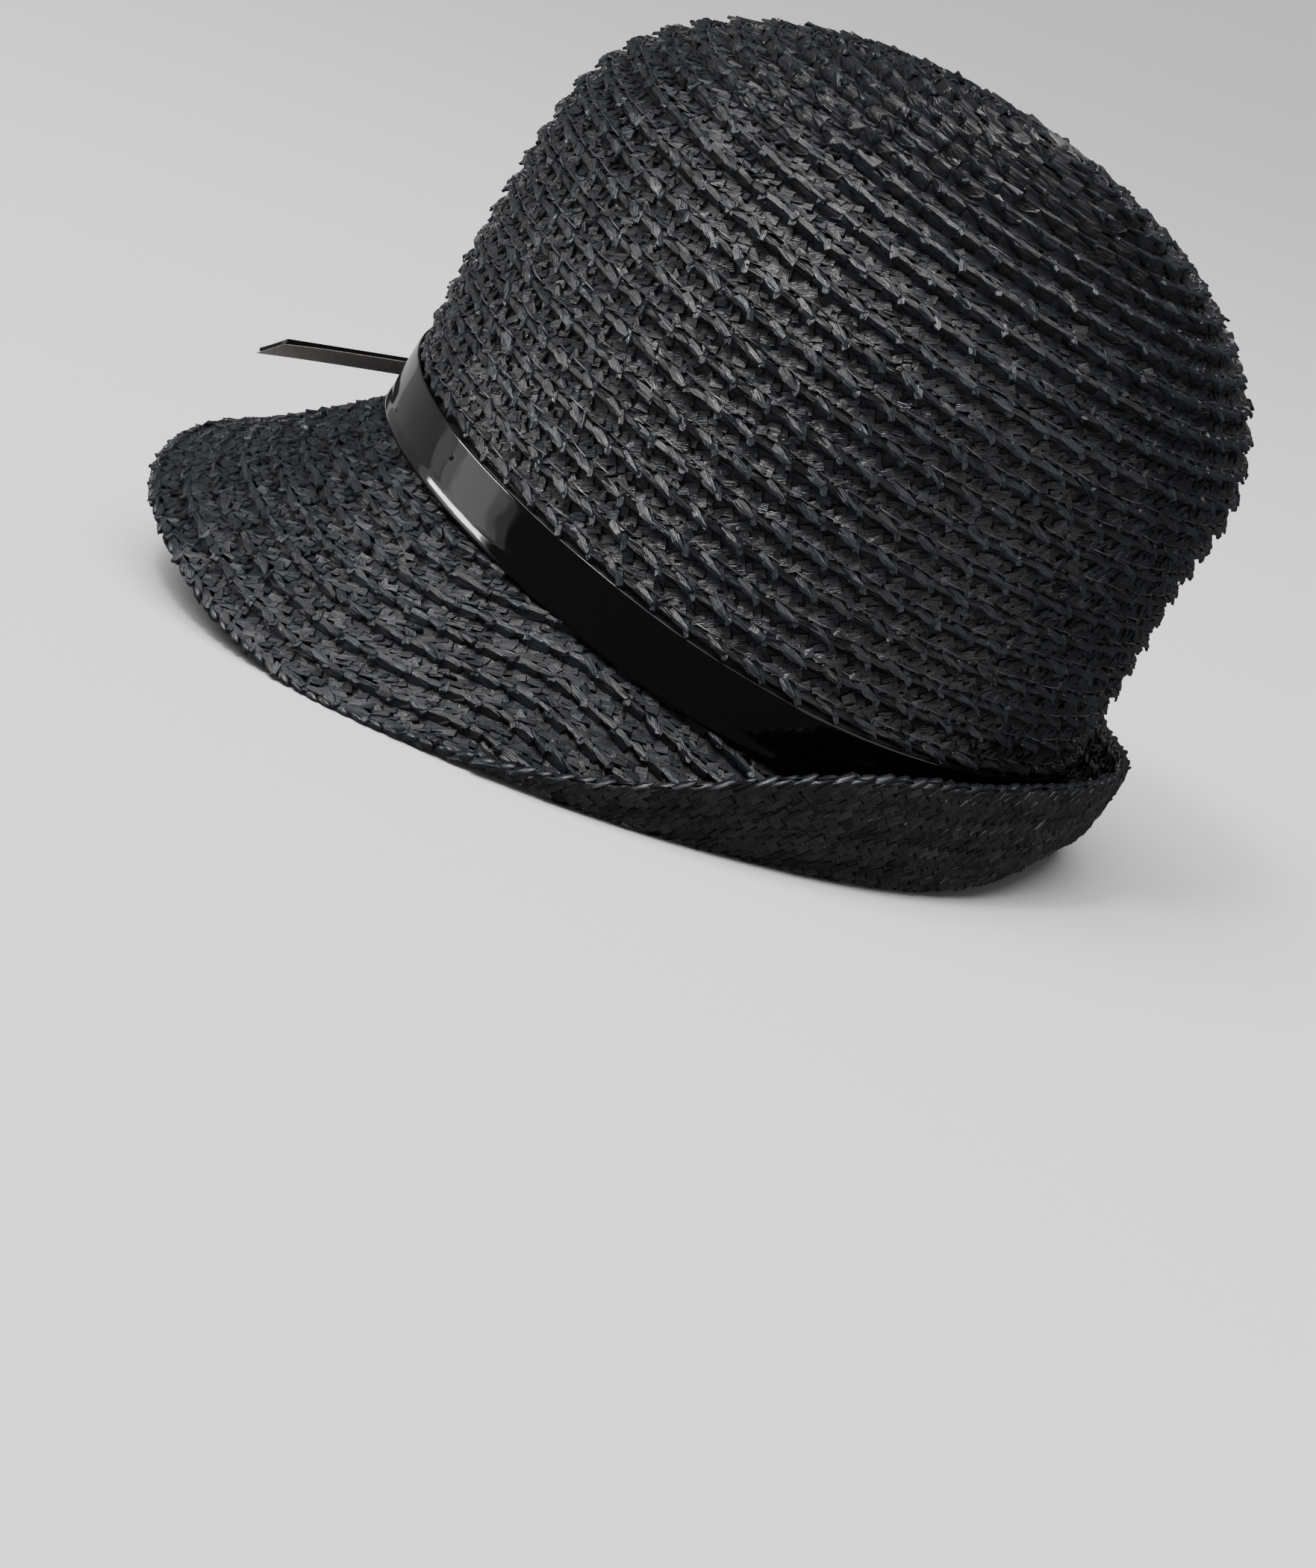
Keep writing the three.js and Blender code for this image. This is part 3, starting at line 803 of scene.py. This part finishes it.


# brim plait, rows counted in from the rim: the crown's straws laid flatter, looser and more even in tone,
# and darker as painted shade, with the crown's painted shade and glint tones scaled down along with them
brimPlait = {
    "seed": 51, "period": 9.0, "profile": brimProfile, "follow": 0.75, "crumple": 0.1, "ragged": 0.25,
    "start": 0.8, "toSeam": True,
    "kinds": [
        {**kind, "lift": kind["lift"] * 0.8, "rise": kind.get("rise", 0) * 0.9,
         "roll": kind.get("roll", 0) * 0.8, "wide": kind["wide"] * 1.05,
         "tone": 0.4 * kind["tone"], "loose": 1.2}
        for kind in crownPlait["kinds"]
    ],
}
underPlait = {
    "seed": 71, "period": 9.0, "profile": underProfile, "follow": 1, "crumple": 0.06, "side": -1,
    "start": 1.2, "toSeam": True,
    "kinds": [
        {"straw": "brick", "along": along, "up": up, "long": 3.9, "wide": 3.1, "slant": slant, "lift": 0,
         "thick": 0.4, "pinch": 0.4, "tone": 0.35, "loose": 0.7}
        for up, slant, start in ((0.2, 38, 0.05), (0.5, -38, 0.2), (0.8, 38, 0.08))
        for along in (start, start + 0.33, start + 0.67)
    ],
}


def brimRows(start):
    count = math.ceil(brimWidth.max() / hat["rowPitch"])
    return [{"low": start + i * hat["rowPitch"], "pitch": hat["rowPitch"]} for i in range(count)]


# rope of twisted straws round the rim
rimRope = {
    "seed": 91, "period": 8.8, "profile": ((0, 0), (1, 0)), "follow": 1, "crumple": 0.08, "smooth": True,
    "start": 0,
    "kinds": [
        {"straw": "twist", "along": along, "up": 0.13, "long": 6.4, "wide": 2.0, "slant": 18, "lift": -0.5,
         "rise": 0.5, "thick": 2.7, "pinch": 0.1, "tone": 0.45, "loose": 0.6}
        for along in (0.25, 0.75)
    ],
}

# long stitches that hold the rows together
rowThread = {
    "seed": 111, "period": 7.6, "profile": crownProfile, "follow": 1, "crumple": 0.0,
    "kinds": [
        {"straw": "stitch", "along": 0.5, "up": 0.40, "long": 6.4, "wide": 0.28, "slant": 1.5, "lift": 0.62,
         "thick": 0.28, "pinch": 0.2, "tone": 0.6, "loose": 0.5},
    ],
}

makeCrownPlait()
makeInsidePlait()
layStraws("brimPlaitTop", brimGrid, brimRows(brimPlait["start"]), brimPlait, strawBrim)
layStraws("brimPlaitUnder", brimGrid, brimRows(underPlait["start"]), underPlait, strawUnder)
layStraws("rimRope", brimGrid, brimRows(rimRope["start"])[:1], rimRope, strawOutside)
layStraws("crownThread", crownGrid, crownRows(0, crownRowCount), rowThread, threadGrey)
print("straws laid")


# patent band, puffed between its turned edges and pulled out at the front
band = {
    "sides": 144, "risePower": 4,
    "section": (  # share of the height, stand-off, further stand-off at the front
        (0.05, -0.2, 0.3), (0.0, 0.9, 1.6), (-0.01, 1.7, 2.1), (0.01, 2.15, 2.3), (0.05, 2.3, 2.35),
        (0.09, 2.2, 2.3), (0.14, 2.02, 2.22), (0.19, 1.85, 2.13), (0.22, 1.79, 2.07), (0.25, 1.76, 2.03),
        (0.28, 1.75, 2.0), (0.34, 1.72, 1.92), (0.5, 1.56, 1.68), (0.7, 1.33, 1.38), (0.87, 1.14, 1.12),
        (0.94, 1.06, 1.03), (0.975, 0.98, 0.98), (1.0, 0.8, 0.92), (0.995, 0.4, 0.9), (0.96, -0.2, 0.9),
    ),
}


def makeBand():
    a = np.arange(band["sides"]) * 2 * math.pi / band["sides"]
    front = np.maximum(np.cos(a), 0) ** 2
    height = hat["bandHeight"] + hat["bandFrontRise"] * front ** band["risePower"]
    rings = []
    for up, out, further in band["section"]:
        run = hat["bandFoot"] + up * height
        rings.append(turnRing(crownGrid, band["sides"], run, out + further * front))
    bm = bmesh.new()
    first, last = loftRings(bm, rings)
    bmesh.ops.bridge_loops(bm, edges=first + last)
    bmesh.ops.recalc_face_normals(bm, faces=bm.faces)
    piece = keepPiece(bm, "patentBand", patentBlack, "patent", "band")
    smooth = piece.modifiers.new("soften", "SUBSURF")
    smooth.levels = smooth.render_levels = 1


makeBand()


# knot: the band's end wrapped once round its front, with two shallow creases where the wrap folds over
knot = {
    "deg": -8, "width": 15, "height": 15, "depth": 2.6, "standOff": 4.7, "round": 2.0, "rimRound": 0.7,
    "creases": (-2.4, 2.6), "creaseHalf": 0.5, "creaseSlant": 0.12, "creaseNear": 0.2,
    "creaseDepth": 0.45,
}


def crownSpot(run, deg, lift):
    turn = math.radians(deg) % (2 * math.pi)
    return Vector(onGrid(crownGrid, np.array([run]), np.array([turn]), np.array([lift]))[0])


knotRun = hat["bandFoot"] + 0.5 * hat["bandHeight"]
knotSeat = crownSpot(knotRun, knot["deg"], 0.0)
knotOut = (crownSpot(knotRun, knot["deg"], 1.0) - knotSeat).normalized()
knotSide = Vector((0, 0, 1)).cross(knotOut).normalized()
knotUp = knotOut.cross(knotSide)


def makeKnot():
    bm = bmesh.new()
    bmesh.ops.create_cube(bm, size=1)
    bmesh.ops.scale(bm, verts=bm.verts, vec=(knot["width"], knot["height"], knot["depth"]))
    corners = [e for e in bm.edges if abs(e.verts[0].co.z - e.verts[1].co.z) > 0.1]
    bmesh.ops.bevel(bm, geom=corners, offset=knot["round"], affect="EDGES", segments=4, profile=0.5,
                    material=-1)
    rims = [e for e in bm.edges if abs(e.verts[0].co.z - e.verts[1].co.z) < 0.1 and len(e.link_faces) == 2]
    bmesh.ops.bevel(bm, geom=rims, offset=knot["rimRound"], affect="EDGES", segments=3, profile=0.5,
                    material=-1)
    for middle in knot["creases"]:
        for shift in (-knot["creaseHalf"], 0, knot["creaseHalf"]):
            bmesh.ops.bisect_plane(bm, geom=bm.verts[:] + bm.edges[:] + bm.faces[:],
                                   plane_co=(middle + shift, 0, 0), plane_no=(1, knot["creaseSlant"], 0))
    for v in bm.verts:
        for middle in knot["creases"]:
            away = v.co.x + knot["creaseSlant"] * v.co.y - middle
            if abs(away) < knot["creaseNear"] and v.co.z > 0:
                v.co.z -= knot["creaseDepth"]
    place = Matrix((knotSide, knotUp, knotOut)).transposed().to_4x4()
    place.translation = knotSeat + knotOut * (knot["standOff"] + knot["depth"] / 2)
    bmesh.ops.transform(bm, matrix=hatPlace @ place, verts=bm.verts)
    bmesh.ops.recalc_face_normals(bm, faces=bm.faces)
    keepPiece(bm, "patentKnot", patentBlack, "patent", "knot")


makeKnot()


# free end of the band: lacquered skin over a matt backing, parted a little at the tip
strap = {
    "pitch": 27.6, "at": -110,
    "near": {"x": -6, "z": -1.8, "tip": -137.5}, "far": {"x": -19, "z": -6.9, "tip": -148.1},
    "skin": 0.98, "backing": 0.17, "gap": 0.05, "backingTip": -0.6, "parting": 0.45, "partPower": 4,
    "bow": 0.12, "seat": 0.1, "steps": 24, "lanes": 6, "sharp": 40,
}


def strapSheet(low, thick, tipShift, parting):
    pitch = math.radians(strap["pitch"])
    along = Vector((0, -math.cos(pitch), -math.sin(pitch)))
    near = Vector((strap["near"]["x"], strap["at"], strap["near"]["z"]))
    far = Vector((strap["far"]["x"], strap["at"], strap["far"]["z"]))
    up = (far - near).normalized().cross(along).normalized()
    face = knotSeat + knotOut * (knot["standOff"] + knot["depth"] + strap["seat"])
    ends = []
    for point, edge in ((near, strap["near"]), (far, strap["far"])):
        start = (face - point).dot(knotOut) / along.dot(knotOut)
        stop = (edge["tip"] + tipShift - point.y) / along.y
        ends.append((point + along * start, point + along * stop))
    bm = bmesh.new()
    bmesh.ops.create_grid(bm, x_segments=strap["steps"], y_segments=strap["lanes"], size=0.5)
    for v in bm.verts:
        share, lane = v.co.x + 0.5, v.co.y + 0.5
        place = ends[0][0].lerp(ends[0][1], share).lerp(ends[1][0].lerp(ends[1][1], share), lane)
        parted = parting * share ** strap["partPower"]
        v.co = place + up * (low - parted + strap["bow"] * (2 * lane - 1) ** 2)
    bmesh.ops.recalc_face_normals(bm, faces=bm.faces)
    flip = -1 if bm.faces[:][0].normal.dot(up) < 0 else 1
    bmesh.ops.solidify(bm, geom=bm.faces[:], thickness=-thick * flip)
    bmesh.ops.transform(bm, matrix=hatPlace, verts=bm.verts)
    bmesh.ops.recalc_face_normals(bm, faces=bm.faces)
    return bm


def makeStrap():
    bm = strapSheet(strap["backing"] + strap["gap"], strap["skin"], 0, 0)
    skin = keepPiece(bm, "strapSkin", patentBlack, "patent", "strap")
    bm = strapSheet(0, strap["backing"], strap["backingTip"], strap["parting"])
    backing = keepPiece(bm, "strapBacking", backingGrey, "patent")
    for sheet in (skin, backing):
        sheet.data.set_sharp_from_angle(angle=math.radians(strap["sharp"]))


makeStrap()
print("band, knot and strap made")

# camera at the photograph's place
view = {
    "place": (0.82906, 0.28606, 0.20853), "turn": (74.846, -18.190, 112.695),
    "lens": 83.88, "sensor": 36,
}


def makeCamera():
    data = bpy.data.cameras.new("camera")
    data.lens = view["lens"]
    data.sensor_width = view["sensor"]
    camera = bpy.data.objects.new("camera", data)
    camera.location = view["place"]
    camera.rotation_euler = [math.radians(d) for d in view["turn"]]
    bpy.context.scene.collection.objects.link(camera)
    bpy.context.scene.camera = camera


makeCamera()

# pale floor that sweeps up all round, and soft light; the cards light the hat alone
studio = {
    "floor": {"reach": 14, "cells": 56, "color": (0.97, 0.97, 0.98), "rough": 0.8,
              "sweepFrom": 1.5, "sweep": 0.03},
    "world": {"color": (0.93, 0.96, 1.0), "strength": 0.1},
    "sun": {"from": (0.45, -0.25, 1.0), "strength": 1.75, "angle": 60},
    "lamps": (
        {"name": "ceiling", "place": (0.3, 0.0, 2.2), "size": (3.0, 3.0), "power": 57},
        {"name": "topLamp", "place": (0.85, -0.2, 1.3), "size": (0.25, 0.25), "power": 9},
    ),
    "cards": (
        {"name": "backCard", "place": (0.9, 1.7, 0.65), "size": (1.8, 1.2), "power": 7.5},
        {"name": "frontCard", "place": (-0.16, -0.9, 0.26), "size": (0.76, 0.62), "power": 0.48},
        {"name": "sideCard", "place": (0.4, -0.9, 0.03), "size": (0.62, 0.35), "power": 0.38},
        {"name": "innerCard", "place": (0.43, -0.93, 0.03), "size": (0.45, 0.35), "power": 0.35},
        {"name": "coreCard", "place": (0.45, -0.92, 0.03), "size": (0.28, 0.35), "power": 0.25},
        {"name": "paleCard", "place": (-0.76, -0.68, 0.0), "size": (0.62, 0.4), "power": 0.45},
        {"name": "windowStrip", "place": (0.56, -1.17, 0.24), "size": (0.56, 0.065), "power": 4.6},
    ),
}


def makeFloor():
    sizes = studio["floor"]
    bm = bmesh.new()
    bmesh.ops.create_grid(bm, x_segments=sizes["cells"], y_segments=sizes["cells"], size=sizes["reach"])
    for v in bm.verts:
        far = max(v.co.xy.length - sizes["sweepFrom"], 0)
        v.co.z = sizes["sweep"] * far * far
    mesh = bpy.data.meshes.new("floor")
    bm.to_mesh(mesh)
    bm.free()
    mesh.polygons.foreach_set("use_smooth", np.ones(len(mesh.polygons), bool))
    material, _, shader = startMaterial("paleFloor")
    shader.inputs["Base Color"].default_value = (*sizes["color"], 1)
    shader.inputs["Roughness"].default_value = sizes["rough"]
    mesh.materials.append(material)
    floor = bpy.data.objects.new("floor", mesh)
    bpy.context.scene.collection.objects.link(floor)
    floor.visible_glossy = False  # the patent mirrors the dim room, not the sheet it stands on
    return floor


def makeLights(floor):
    hatOnly = bpy.data.collections.new("hatOnly")
    hatOnly.objects.link(floor)
    hatOnly.collection_objects[0].light_linking.link_state = "EXCLUDE"
    sun = bpy.data.objects.new("sun", bpy.data.lights.new("sun", "SUN"))
    sun.data.energy = studio["sun"]["strength"]
    sun.data.angle = math.radians(studio["sun"]["angle"])
    sun.rotation_euler = Vector(studio["sun"]["from"]).to_track_quat("Z", "Y").to_euler()
    bpy.context.scene.collection.objects.link(sun)
    middle = (cadBox[0] + cadBox[1]) / 2
    for lamp in studio["lamps"] + studio["cards"]:
        light = bpy.data.objects.new(lamp["name"], bpy.data.lights.new(lamp["name"], "AREA"))
        light.data.shape = "RECTANGLE"
        light.data.size, light.data.size_y = lamp["size"]
        light.data.energy = lamp["power"]
        light.location = lamp["place"]
        light.rotation_euler = (light.location - middle).to_track_quat("Z", "Y").to_euler()
        if lamp in studio["cards"]:
            light.light_linking.receiver_collection = hatOnly
        bpy.context.scene.collection.objects.link(light)
    world = bpy.data.worlds.new("studio")
    world.use_nodes = True
    sky = world.node_tree.nodes["Background"]
    sky.inputs["Color"].default_value = (*studio["world"]["color"], 1)
    sky.inputs["Strength"].default_value = studio["world"]["strength"]
    bpy.context.scene.world = world


makeLights(makeFloor())

print("scene done")
